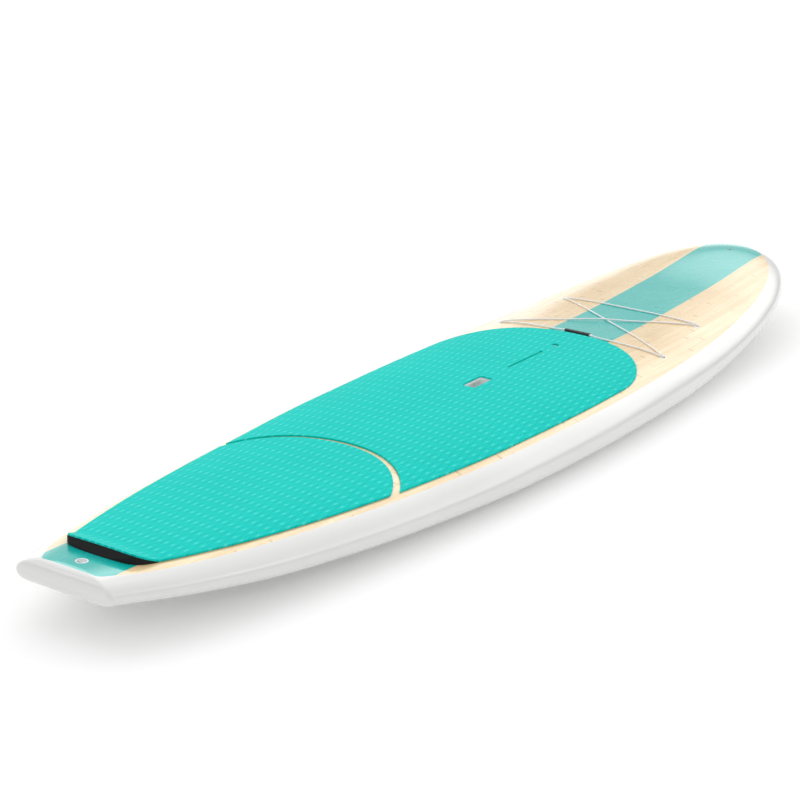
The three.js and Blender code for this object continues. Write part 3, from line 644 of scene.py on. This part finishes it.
class Look:
    """A procedural material under construction, with short calls for its usual nodes."""

    def __init__(self, name, slot, **surface):
        self.material = bpy.data.materials.new(name)
        self.material.use_nodes = True
        self.material["slot"] = slot
        self.tree = self.material.node_tree
        self.shader = self.tree.nodes["Principled BSDF"]
        for socket, value in surface.items():
            self.feed(self.shader.inputs[socket.replace("_", " ")], value)
        place = self.add("ShaderNodeTexCoord").outputs["Object"]
        self.place = place
        split = self.add("ShaderNodeSeparateXYZ", place)
        self.x, self.y, self.z = split.outputs

    def feed(self, socket, value):
        if isinstance(value, bpy.types.NodeSocket):
            self.tree.links.new(value, socket)
        else:
            socket.default_value = value

    def add(self, kind, *values, **settings):
        node = self.tree.nodes.new(kind)
        for name, value in settings.items():
            setattr(node, name, value)
        for socket, value in zip(node.inputs, values):
            if value is not None:
                self.feed(socket, value)
        return node

    def calc(self, operation, a, b=0.0, c=0.0, clamp=False):
        node = self.add("ShaderNodeMath", a, b, c, operation=operation, use_clamp=clamp)
        return node.outputs[0]

    def ramp(self, value, low, high, out_low=0.0, out_high=1.0):
        """A value's smooth step from low to high."""
        node = self.add("ShaderNodeMapRange", value, interpolation_type="SMOOTHSTEP")
        for name, number in (("From Min", low), ("From Max", high),
                             ("To Min", out_low), ("To Max", out_high)):
            node.inputs[name].default_value = number
        return node.outputs[0]

    def stretched(self, x_scale, y_scale, z_scale):
        """The place on the object, scaled by a different number along each axis."""
        node = self.add("ShaderNodeMapping", self.place)
        node.inputs["Scale"].default_value = (x_scale, y_scale, z_scale)
        return node.outputs[0]

    def noise(self, scale, detail=2.0, place=None, roughness=0.5):
        node = self.add("ShaderNodeTexNoise", place or self.place)
        node.inputs["Scale"].default_value = scale
        node.inputs["Detail"].default_value = detail
        node.inputs["Roughness"].default_value = roughness
        return node.outputs["Fac"]

    def mix(self, share, first, second, blend="MIX"):
        node = self.add("ShaderNodeMix", data_type="RGBA", blend_type=blend)
        self.feed(node.inputs["Factor"], share)
        self.feed(node.inputs[6], first)
        self.feed(node.inputs[7], second)
        return node.outputs[2]

    def bump(self, height, distance, strength=1.0, under=None):
        node = self.add("ShaderNodeBump")
        node.inputs["Strength"].default_value = strength
        node.inputs["Distance"].default_value = distance
        self.feed(node.inputs["Height"], height)
        if under is not None:
            self.feed(node.inputs["Normal"], under)
        return node.outputs[0]

    def colour(self, value):
        self.feed(self.shader.inputs["Base Color"], value)

    def done(self, normal=None):
        if normal is not None:
            self.feed(self.shader.inputs["Normal"], normal)
        return self.material


# ------------------------------------------------------------------ materials

TEAL_PAINT = linear(0, 184, 176)
TEAL_FOAM = linear(0, 205, 195)


def lacquer_white():
    look = Look("white_lacquer", "white_gloss", Roughness=0.14, Coat_Weight=0.7, Coat_Roughness=0.03)
    cloud = look.noise(2.5, 3)
    look.colour(look.mix(cloud, linear(218, 218, 216), linear(226, 226, 224)))
    look.feed(look.shader.inputs["Roughness"], look.ramp(look.noise(9, 4), 0.35, 0.7, 0.10, 0.20))
    return look.done(look.bump(look.noise(55, 2), 0.00012, 0.2))


def bamboo_deck():
    """Bamboo strips along the board under clear lacquer, with the painted band down the middle."""
    look = Look("bamboo_lacquered", "bamboo", Coat_Weight=1.0, Coat_Roughness=0.06, Specular_IOR_Level=0.25)
    strip_width, node_spacing = 0.0165, 0.31
    across = look.calc("DIVIDE", look.y, strip_width)
    strip = look.calc("FLOOR", across)
    chance = look.add("ShaderNodeTexWhiteNoise", None, strip, noise_dimensions="1D").outputs["Value"]
    along = look.calc("ADD", look.calc("DIVIDE", look.x, node_spacing), look.calc("MULTIPLY", chance, 7.0))
    wobble = look.calc("MULTIPLY", look.noise(24, 2), 0.035)
    from_node = look.calc("PINGPONG", look.calc("ADD", along, wobble), 0.5)
    knuckle = look.ramp(from_node, 0.0, 0.022, 1.0, 0.0)
    patchy = look.ramp(look.noise(13, 3), 0.42, 0.62)
    fibre = look.noise(1.0, 4, look.stretched(9, 420, 60), 0.62)
    streak = look.noise(1.0, 2, look.stretched(1.6, 46, 8))
    seam = look.ramp(look.calc("PINGPONG", across, 0.5), 0.0, 0.035, 1.0, 0.0)
    wood = look.mix(look.ramp(fibre, 0.3, 0.72), linear(230, 197, 144), linear(246, 223, 180))
    wood = look.mix(look.ramp(streak, 0.35, 0.7, 0.0, 0.45), wood, linear(220, 178, 114))
    wood = look.mix(look.calc("MULTIPLY", chance, 0.35), wood, linear(252, 232, 190))
    marks = look.calc("MULTIPLY", look.calc("MULTIPLY", knuckle, patchy), 0.6)
    wood = look.mix(marks, wood, linear(176, 120, 62))
    wood = look.mix(look.calc("MULTIPLY", seam, 0.22), wood, linear(188, 136, 76))
    off_centre = look.calc("ABSOLUTE", look.y)
    painted = look.ramp(off_centre, BAND_HALF - 0.0004, BAND_HALF + 0.0004, 1.0, 0.0)
    bare_middle = look.calc("ABSOLUTE", look.calc("SUBTRACT", look.x, BARE_MIDDLE_X))
    painted = look.calc("MULTIPLY", painted, look.ramp(bare_middle, BARE_HALF, BARE_HALF + 0.0008))
    paint = look.mix(look.ramp(fibre, 0.35, 0.7, 0.0, 0.25), TEAL_PAINT, linear(6, 190, 182))
    look.colour(look.mix(painted, wood, paint))
    look.feed(look.shader.inputs["Roughness"], look.ramp(look.noise(14, 3), 0.3, 0.7, 0.22, 0.34))
    grain = look.bump(fibre, 0.00004, 0.35)
    return look.done(look.bump(look.noise(40, 2), 0.0001, 0.1, under=grain))


def teal_foam():
    """Closed-cell deck foam, pressed with staggered short dashes between fine grooves; the grooves are
    darkened as painted shade and the dashes lightened as a painted highlight.
    """
    look = Look("teal_foam_pressed", "teal_foam", Roughness=0.7, Specular_IOR_Level=0.12)
    row_pitch, dash_pitch = 0.090, 0.0195
    lengthwise = look.calc("DIVIDE", look.x, row_pitch)
    crosswise = look.calc("DIVIDE", look.y, dash_pitch)
    rising = look.calc("PINGPONG", look.calc("ADD", lengthwise, crosswise), 0.5)
    falling = look.calc("PINGPONG", look.calc("SUBTRACT", lengthwise, crosswise), 0.5)
    from_dash = look.calc("SUBTRACT", 0.5, look.calc("MINIMUM", rising, falling))
    dash = look.ramp(from_dash, 0.06, 0.16, 1.0, 0.0)
    groove = look.ramp(look.calc("MINIMUM", rising, falling), 0.015, 0.07, 1.0, 0.0)
    cells = look.noise(1500, 2)
    blotch = look.noise(6, 3)
    foam = look.mix(look.ramp(blotch, 0.3, 0.7, 0.0, 0.35), TEAL_FOAM, linear(2, 213, 202))
    foam = look.mix(look.ramp(cells, 0.35, 0.7, 0.0, 0.25), foam, linear(0, 184, 170))
    # Darker colour in the grooves: painted shade in the recesses.
    foam = look.mix(look.calc("MULTIPLY", groove, 0.35), foam, linear(0, 158, 146))
    # Lighter colour on the dashes: a painted highlight where they catch the light.
    look.colour(look.mix(look.calc("MULTIPLY", dash, 0.5), foam, linear(96, 230, 222)))
    look.feed(look.shader.inputs["Roughness"], look.ramp(dash, 0, 1, 0.66, 0.48))
    pores = look.bump(cells, 0.0002, 0.4)
    raised = look.calc("SUBTRACT", dash, groove)
    return look.done(look.bump(raised, 0.0012, 0.6, under=pores))


def black_foam():
    look = Look("black_foam_cut", "black_foam", Roughness=0.9)
    cells = look.noise(900, 3)
    look.colour(look.mix(look.ramp(cells, 0.35, 0.7), linear(4, 4, 5), linear(22, 22, 24)))
    return look.done(look.bump(cells, 0.0004, 0.7))


def pale_foam(name, slot, dark, light):
    look = Look(name, slot, Roughness=0.9)
    beads = look.add("ShaderNodeTexVoronoi", look.place, feature="F1")
    beads.inputs["Scale"].default_value = 260
    look.colour(look.mix(look.ramp(beads.outputs["Distance"], 0.1, 0.7), light, dark))
    return look.done(look.bump(beads.outputs["Distance"], 0.0006, 0.5))


def stringer_wood():
    look = Look("stringer_wood", "timber", Roughness=0.7)
    grain = look.noise(1.0, 5, look.stretched(3, 60, 140), 0.6)
    look.colour(look.mix(look.ramp(grain, 0.3, 0.7), linear(150, 106, 62), linear(206, 164, 108)))
    return look.done(look.bump(grain, 0.0003, 0.4))


def moulded_plastic(name, slot, colour, worn, gloss=0.35):
    look = Look(name, slot, Roughness=gloss)
    cloud = look.noise(45, 3)
    look.colour(look.mix(look.ramp(cloud, 0.3, 0.75), colour, worn))
    look.feed(look.shader.inputs["Roughness"], look.ramp(look.noise(120, 3), 0.3, 0.7, gloss, gloss + 0.15))
    return look.done(look.bump(look.noise(1800, 2), 0.00008, 0.5))


def brushed_metal(name, slot, colour, shade, gloss=0.28):
    look = Look(name, slot, Metallic=1.0, Roughness=gloss)
    lines = look.noise(1.0, 3, look.stretched(2600, 260, 2600))
    look.colour(look.mix(look.ramp(lines, 0.3, 0.7), shade, colour))
    look.feed(look.shader.inputs["Roughness"], look.ramp(lines, 0.3, 0.7, gloss, gloss + 0.18))
    return look.done(look.bump(lines, 0.00003, 0.4))


def black_rubber(name, slot):
    look = Look(name, slot, Roughness=0.55)
    cloud = look.noise(220, 4)
    look.colour(look.mix(look.ramp(cloud, 0.3, 0.75), linear(14, 15, 16), linear(38, 40, 42)))
    return look.done(look.bump(cloud, 0.0004, 0.5))


def braided_cord():
    """Fine braid whose strands cross on the tube's own length and turn, with painted shade in the hollows
    between strands.
    """
    look = Look("braided_cord", "silver_cord", Roughness=0.5, Sheen_Weight=0.3)
    mark = look.add("ShaderNodeAttribute", attribute_name="on_tube")
    along, sine, cosine = look.add("ShaderNodeSeparateXYZ", mark.outputs["Vector"]).outputs
    turn = look.calc("DIVIDE", look.calc("ARCTAN2", sine, cosine), math.pi)
    strands, pitch = 4.0, 0.0042
    steps = look.calc("DIVIDE", along, pitch)
    round_it = look.calc("MULTIPLY", turn, strands)
    left = look.calc("PINGPONG", look.calc("ADD", steps, round_it), 0.5)
    right = look.calc("PINGPONG", look.calc("SUBTRACT", steps, round_it), 0.5)
    height = look.calc("MAXIMUM", left, right)
    # Darker where the braid's height is low: painted shade in the hollows between strands.
    look.colour(look.mix(look.ramp(height, 0.12, 0.4), linear(214, 217, 220), linear(252, 253, 254)))
    return look.done(look.bump(height, 0.0003, 0.5))


def floor_look():
    look = Look("pale_floor", "floor", Roughness=0.9)
    look.colour(look.mix(look.noise(3, 2), linear(236, 236, 236), linear(240, 240, 240)))
    look.feed(look.shader.inputs["Emission Color"], (1, 1, 1, 1))
    look.feed(look.shader.inputs["Emission Strength"], 0.15)
    return look.done()


# ------------------------------------------------------------------ hull and deck skins

SKIN_FIT = 0.9985
RIM_STEPS = 16
BOTTOM_STEPS = 14
BOTTOM_FLAT = 0.5
DECK_STEPS = 16
FIN_BOX_X = 0.330
FIN_BOX_SIZE = (0.2676, 0.0276)

VENT_SEAT = deck_seat(VENT_X, 0)
LEASH_SEAT = deck_seat(LEASH_X, 0)
NOSE_SEAT = deck_seat(NOSE_INSERT_X, 0)
ROUND_SEATS = [
    (VENT_SEAT, VENT_RADIUS), (LEASH_SEAT, LEASH_RADIUS), (NOSE_SEAT, NOSE_INSERT_RADIUS),
    *((seat, CUP_RADIUS) for seat in CUP_SEATS.values()),
]
SPOKES = ring_spokes()
PANEL = panel_loop()
PANEL_SHARES = [spoke_crossing(centre, (x, y), PANEL) for centre, x, y in SPOKES]


def fitted(vertices):
    """Skin points drawn in a little, so that the smooth skin stays within the faceted CAD solid."""
    return [(x, y * SKIN_FIT, z * SKIN_FIT) for x, y, z in vertices]


def hull_skin(look):
    """The white rim outside the panel, the rails and the bottom with the fin box's opening."""
    rings = []
    for step in range(RIM_STEPS + 1):
        left = (1 - step / RIM_STEPS) ** 2
        rings.append([
            spoke_points(spoke, [1 - (1 - start) * left])[0]
            for spoke, start in zip(SPOKES, PANEL_SHARES)
        ])
    for step in range(1, BOTTOM_STEPS + 1):
        share = 1 - (1 - BOTTOM_FLAT) * (step / BOTTOM_STEPS) ** 2
        rings.append([spoke_points(spoke, [share], True)[0] for spoke in SPOKES])
    count = len(SPOKES)
    vertices = [point for ring in rings for point in ring]
    faces = ring_faces([[r * count + i for i in range(count)] for r in range(len(rings))])
    flat_edge = [(x, y) for x, y, _ in rings[-1]]
    inner = [
        point for spoke in SPOKES[::2]
        for point in spoke_points(spoke, [BOTTOM_FLAT * k / 6 for k in range(6)], True)
    ]
    inner = np.unique(np.round(np.array(inner), 6), axis=0)
    opening = dense(rectangle((FIN_BOX_X, 0), *FIN_BOX_SIZE), 0.02)
    points, sheet, used = plan_sheet(flat_edge[::-1], [opening], inner[:, :2], 0.004)
    edge_numbers = [len(vertices) - count + i for i in range(count)][::-1]
    numbers = edge_numbers + list(range(len(vertices), len(vertices) + len(points) - count))
    for x, y in points[count:count + len(opening)]:
        vertices.append((x, y, surface_height(x, abs(y) / half_width(x), True)))
    vertices += [tuple(point) for point in inner[used]]
    faces += [[numbers[i] for i in face[::-1]] for face in sheet]
    return make_piece("hull_skin", fitted(vertices), faces, look, replaces=["hull_shell"])


def deck_skin(look):
    """The lacquered panel, with a hole for each fitting."""
    edge = [spoke_points(spoke, [start])[0] for spoke, start in zip(SPOKES, PANEL_SHARES)][::-1]
    inner = [
        point for spoke, start in zip(SPOKES, PANEL_SHARES)
        for point in spoke_points(spoke, [start * k / DECK_STEPS for k in range(DECK_STEPS)])
    ]
    inner = np.unique(np.round(np.array(inner), 6), axis=0)
    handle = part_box("handle_cup")
    middle = (handle[0] + handle[1]) / 2 - TO_FRAME.translation
    size = handle[1] - handle[0]
    holes = [rectangle((middle.x, middle.y), size.x + 2 * HANDLE_GAP, size.y + 2 * HANDLE_GAP)]
    for seat, radius in ROUND_SEATS:
        holes.append(circle(seat.translation.xy, radius + FITTING_GAP))
    points, faces, used = plan_sheet([(x, y) for x, y, _ in edge], holes, inner[:, :2], 0.005)
    vertices = list(edge)
    hole_points = sum(len(hole) for hole in holes)
    vertices += [(x, y, deck_height(x, y)) for x, y in points[len(edge):len(edge) + hole_points]]
    vertices += [tuple(point) for point in inner[used]]
    return make_piece("deck_skin", fitted(vertices), faces, look, replaces=["deck_panel"])


# ------------------------------------------------------------------ pads and kick

def pad_half(x):
    return half_width(x) - PAD_MARGIN


def arc_points(radius, steps=40):
    """The arc where the tail pad meets the main pad, from the centreline to the pads' side."""
    def point(turn):
        return ARC_X + radius * math.cos(turn), radius * math.sin(turn)

    end = 0
    while point(end)[1] < pad_half(point(end)[0]):
        end += 0.002
    return [point(end * i / steps) for i in range(steps + 1)]


def side_points(start, end, steps):
    return [
        (start + (end - start) * i / steps, pad_half(start + (end - start) * i / steps))
        for i in range(steps + 1)
    ]


def rear_edge(bulge=0.0, steps=24):
    """Rear edge and rounded corner of the tail pad; the wedge under it bulges a little aft."""
    side_start = KICK_TOP + KICK_CORNER
    points = []
    for i in range(steps):
        share = 1 - (1 - i / steps) ** 2
        x = side_start - KICK_CORNER * (1 - share ** 8) - bulge * (1 - share ** 2)
        points.append((x, pad_half(side_start) * share))
    return points


def tail_pad_loop():
    arc = arc_points(TAIL_ARC)
    side = side_points(KICK_TOP + KICK_CORNER, arc[-1][0], 60)
    return mirrored([*rear_edge(), *side[:-1], *arc[::-1]])


def main_pad_loop():
    arc = arc_points(MAIN_ARC)
    steps = 60
    front = []
    for i in range(1, steps + 1):
        along = math.sin(math.pi / 2 * i / steps)
        x = PAD_FRONT_X + PAD_FRONT_REACH * along
        fall = max(1 - along ** PAD_FRONT_POWER, 0) ** (1 / PAD_FRONT_POWER)
        front.append((x, 0 if i == steps else pad_half(x) * fall))
    return mirrored([*arc, *side_points(arc[-1][0], PAD_FRONT_X, 60)[1:], *front])


def kick_ramp(x):
    """Height of the kick: a steep back face, then a ramp down to nothing at the front."""
    back_face = (x - KICK_X) / KICK_LEAN
    ramp = 1 - (x - KICK_TOP) / KICK_RUN
    return KICK_HEIGHT * min(max(min(back_face, ramp), 0), 1)


def lies_on(x, y):
    """Height of the underside of what is glued to the deck."""
    return deck_height(x, y) + PAD_GAP


def tail_pad(look):
    def low(x, y):
        return lies_on(x, y) + kick_ramp(x) + TAIL_PAD_GAP

    def top(x, y):
        return low(x, y) + PAD

    loop = dense(tail_pad_loop(), 0.02)
    vertices, faces = foam_sheet(loop, [], top, low, PAD_EDGE, spacing=0.0155)
    return make_piece("tail_pad_sheet", vertices, faces, look, replaces=["tail_pad"])


def kick_foam(look):
    end = KICK_TOP + KICK_RUN
    side = side_points(KICK_TOP + KICK_CORNER, end, 8)
    loop = dense(mirrored([*rear_edge(KICK_LEAN), *side]), 0.015)

    def top(x, y):
        return lies_on(x, y) + kick_ramp(x) + KICK_GAP

    vertices, faces = foam_sheet(loop, [], top, lies_on, edge=0.0003, spacing=0.0033)
    return make_piece("kick_foam", vertices, faces, look, replaces=["kick_wedge"])


def main_pad(look):
    window = rectangle(
        (HANDLE_X, 0), HANDLE_LENGTH + 2 * WINDOW_GAP, HANDLE_WIDTH + 2 * WINDOW_GAP, WINDOW_CORNER,
    )
    vent = circle((VENT_X, 0), VENT_PAD_RADIUS)
    holes = [dense(window, 0.012), vent, slot_loop()]

    def top(x, y):
        return lies_on(x, y) + PAD

    loop = dense(main_pad_loop(), 0.02)
    vertices, faces = foam_sheet(loop, holes, top, lies_on, PAD_EDGE, spacing=0.0195)
    nodes = [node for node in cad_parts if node.startswith("main_pad")]
    return make_piece("main_pad_sheet", vertices, faces, look, replaces=nodes)


def slot_loop():
    """The narrow slot with a round hole at each end."""
    half = SLOT_WIDTH / 2
    open_turn = math.asin(half / SLOT_END)
    loop = []
    for x, start in ((SLOT_TO, -math.pi), (SLOT_FROM, 0)):
        for i in range(17):
            turn = start + open_turn + (2 * math.pi - 2 * open_turn) * i / 16
            loop.append((x + SLOT_END * math.cos(turn), SLOT_END * math.sin(turn)))
    return dense(loop, 0.02)


# ------------------------------------------------------------------ fittings

def cord_sleeve(look):
    """A shrunk black sleeve, a flat tube with round sides, drawn in at both ends."""
    bore = CORD_RADIUS + 0.00012
    outer = CORD_RADIUS + SLEEVE_WALL + 0.0001
    start, end = SLEEVE_STARBOARD + 0.0032, SLEEVE_PORT - 0.0032
    rings = [(start, bore), (start, outer - 0.0006), (start + 0.0006, outer - 0.0001)]
    steps = 26
    for i in range(1, steps):
        t = i / steps
        waist = 0.00035 * math.sin(9 * math.pi * t) * math.sin(math.pi * t) ** 2
        rings.append((start + (end - start) * t, outer - 0.0002 + waist))
    rings += [(end - 0.0006, outer - 0.0001), (end, outer - 0.0006), (end, bore)]
    vertices, loops = [], []
    for y, radius in rings:
        loops.append(list(range(len(vertices), len(vertices) + 32)))
        for side, first_turn in ((1, -math.pi / 2), (-1, math.pi / 2)):
            for i in range(16):
                turn = first_turn + math.pi * i / 15
                x = SLEEVE_X + side * LANE + radius * math.cos(turn)
                vertices.append((x, y, SLEEVE_Z + radius * math.sin(turn)))
    return make_piece("shrunk_sleeve", vertices, ring_faces(loops, True), look, replaces=["cord_sleeve"])


def vent_housing(look):
    profile = [
        (0, -0.020), (0.0033, -0.020), (0.0033, -0.0043), (0.0036, -0.004), (0.006, -0.004),
        (0.0064, -0.0036), (0.0064, -0.0006), (0.0066, -0.0002), (0.0070, -0.0001),
        (0.0084, -0.0001), (0.0088, -0.0003), (0.009, -0.0007), (0.009, -0.024), (0, -0.024),
    ]
    return turned("vent_body", profile, VENT_SEAT, look, "vent_housing")


def soften(node, width):
    """Rounds a CAD node's edges without touching its mesh."""
    bevel = bpy.data.objects[node].modifiers.new("rounded_edges", "BEVEL")
    bevel.width = width
    bevel.segments = 3
    bevel.limit_method = "ANGLE"
    bevel.angle_limit = math.radians(40)
    bevel.harden_normals = True


def dress(node, look, edge=0.0):
    """Gives a carried-over CAD node its material and rounded edges."""
    for place in bpy.data.objects[node].material_slots:
        place.material = look
    if edge:
        soften(node, edge)


# ------------------------------------------------------------------ floor and light

def make_floor(look):
    reach, steps = 30, 8
    spots = [-reach + 2 * reach * i / steps for i in range(steps + 1)]
    mesh = bpy.data.meshes.new("floor")
    vertices = [(x, y, 0) for y in spots for x in spots]
    row = steps + 1
    faces = [
        (j * row + i, j * row + i + 1, (j + 1) * row + i + 1, (j + 1) * row + i)
        for j in range(steps) for i in range(steps)
    ]
    mesh.from_pydata(vertices, [], faces)
    mesh.materials.append(look)
    floor = bpy.data.objects.new("floor", mesh)
    bpy.context.scene.collection.objects.link(floor)


def make_panel_light(name, place, aim, size, power):
    lamp = bpy.data.lights.new(name, "AREA")
    lamp.shape = "RECTANGLE"
    lamp.size, lamp.size_y = size
    lamp.energy = power
    light = bpy.data.objects.new(name, lamp)
    light.location = place
    light.visible_camera = False
    light.rotation_euler = (Vector(aim) - Vector(place)).to_track_quat("-Z", "Y").to_euler()
    bpy.context.scene.collection.objects.link(light)


NEAR_SIDE = 1.2
FAR_SIDE = 2.5


def make_world():
    """A studio with a pale backdrop, a bright band a third of the way up and a darker near side."""
    world = bpy.data.worlds.new("studio")
    bpy.context.scene.world = world
    world.use_nodes = True
    tree = world.node_tree
    place = tree.nodes.new("ShaderNodeTexCoord")
    split = tree.nodes.new("ShaderNodeSeparateXYZ")
    ramp = tree.nodes.new("ShaderNodeValToRGB")
    tree.links.new(place.outputs["Generated"], split.inputs[0])
    tree.links.new(split.outputs["Z"], ramp.inputs[0])
    tree.links.new(ramp.outputs["Color"], tree.nodes["Background"].inputs["Color"])
    stops = ramp.color_ramp.elements
    stops[0].position, stops[1].position = 0.0, 1.0
    stops[0].color, stops[1].color = (0.55, 0.55, 0.55, 1), (0.45, 0.45, 0.45, 1)
    for position, value in (
        (0.19, 0.52), (0.26, 0.24), (0.36, 0.20), (0.50, 1.0), (0.58, 0.9), (0.70, 0.5),
    ):
        stop = stops.new(position)
        stop.color = (value, value, value, 1)
    facing = tree.nodes.new("ShaderNodeVectorMath")
    facing.operation = "DOT_PRODUCT"
    facing.inputs[1].default_value = (math.cos(VIEW_TURN), math.sin(VIEW_TURN), 0)
    tree.links.new(place.outputs["Generated"], facing.inputs[0])
    near_to_far = tree.nodes.new("ShaderNodeMapRange")
    near_to_far.inputs["From Min"].default_value = -0.8
    near_to_far.inputs["From Max"].default_value = 0.8
    near_to_far.inputs["To Min"].default_value = NEAR_SIDE
    near_to_far.inputs["To Max"].default_value = FAR_SIDE
    tree.links.new(facing.outputs["Value"], near_to_far.inputs["Value"])
    tree.links.new(near_to_far.outputs[0], tree.nodes["Background"].inputs["Strength"])


# ------------------------------------------------------------------ the board

def make_board():
    white_plastic = moulded_plastic(
        "white_moulding", "white_plastic", linear(246, 247, 247), linear(236, 238, 238),
    )
    grey_plastic = moulded_plastic(
        "grey_moulding", "grey_plastic", linear(150, 154, 158), linear(122, 126, 130),
    )
    steel = brushed_metal("brushed_steel", "steel", linear(214, 217, 220), linear(168, 171, 175))
    brass = brushed_metal("worn_brass", "brass", linear(214, 178, 96), linear(168, 132, 62))
    foam_teal = teal_foam()

    hull_skin(lacquer_white())
    deck_skin(bamboo_deck())
    for pad in (tail_pad(foam_teal), main_pad(foam_teal), kick_foam(black_foam())):
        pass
    cord_sleeve(black_rubber("shrunk_rubber", "black_plastic"))

    vent_housing(white_plastic)
    leash = cup_profile(LEASH_RADIUS, depth=0.019, cavity=0.012, cavity_depth=0.015, lip=0.0012)
    turned("leash_plug", leash, LEASH_SEAT, white_plastic, "leash_cup")
    insert = cup_profile(
        NOSE_INSERT_RADIUS, depth=0.010, cavity=0.0026, cavity_depth=0.007, lip=0.0014,
    )
    turned("nose_plug", insert, NOSE_SEAT, grey_plastic, "nose_insert")
    cup = cup_profile(CUP_RADIUS, depth=0.015, cavity=0.0085, cavity_depth=0.0125, lip=0.0010)
    for name, seat in CUP_SEATS.items():
        turned(f"deck_plug_{name}", cup, seat, white_plastic, f"cord_cup_{name}")
        dress(f"cord_bar_{name}", steel)
    dress("leash_bar", steel)
    dress("handle_cup", white_plastic, 0.0008)
    dress("vent_screw", grey_plastic, 0.0003)
    dress("vent_seal", black_rubber("seal_rubber", "rubber"))
    dress("fin_box", white_plastic, 0.0005)
    dress("fin_plate", brass, 0.0004)
    dress("fin_screw", steel, 0.0002)

    dress("stringer", stringer_wood())
    blank = pale_foam("foam_blank", "foam", linear(236, 232, 220), linear(248, 246, 240))
    block = pale_foam("dense_foam_block", "dense_foam", linear(206, 178, 120), linear(226, 202, 148))
    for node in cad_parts:
        if node.startswith("foam_core"):
            dress(node, blank)
        elif node.endswith("_block"):
            dress(node, block)


make_camera()
make_cord(braided_cord())
make_board()
make_floor(floor_look())
make_world()
make_panel_light("overhead", (-0.5, 1.8, 4.7), (0, 0, 0), size=(6, 4), power=30)
make_panel_light("starboard_strip", (-0.3, -4.2, 3.4), (0, 0, 0.1), size=(5, 0.3), power=7)
bpy.context.scene.view_settings.view_transform = "Standard"
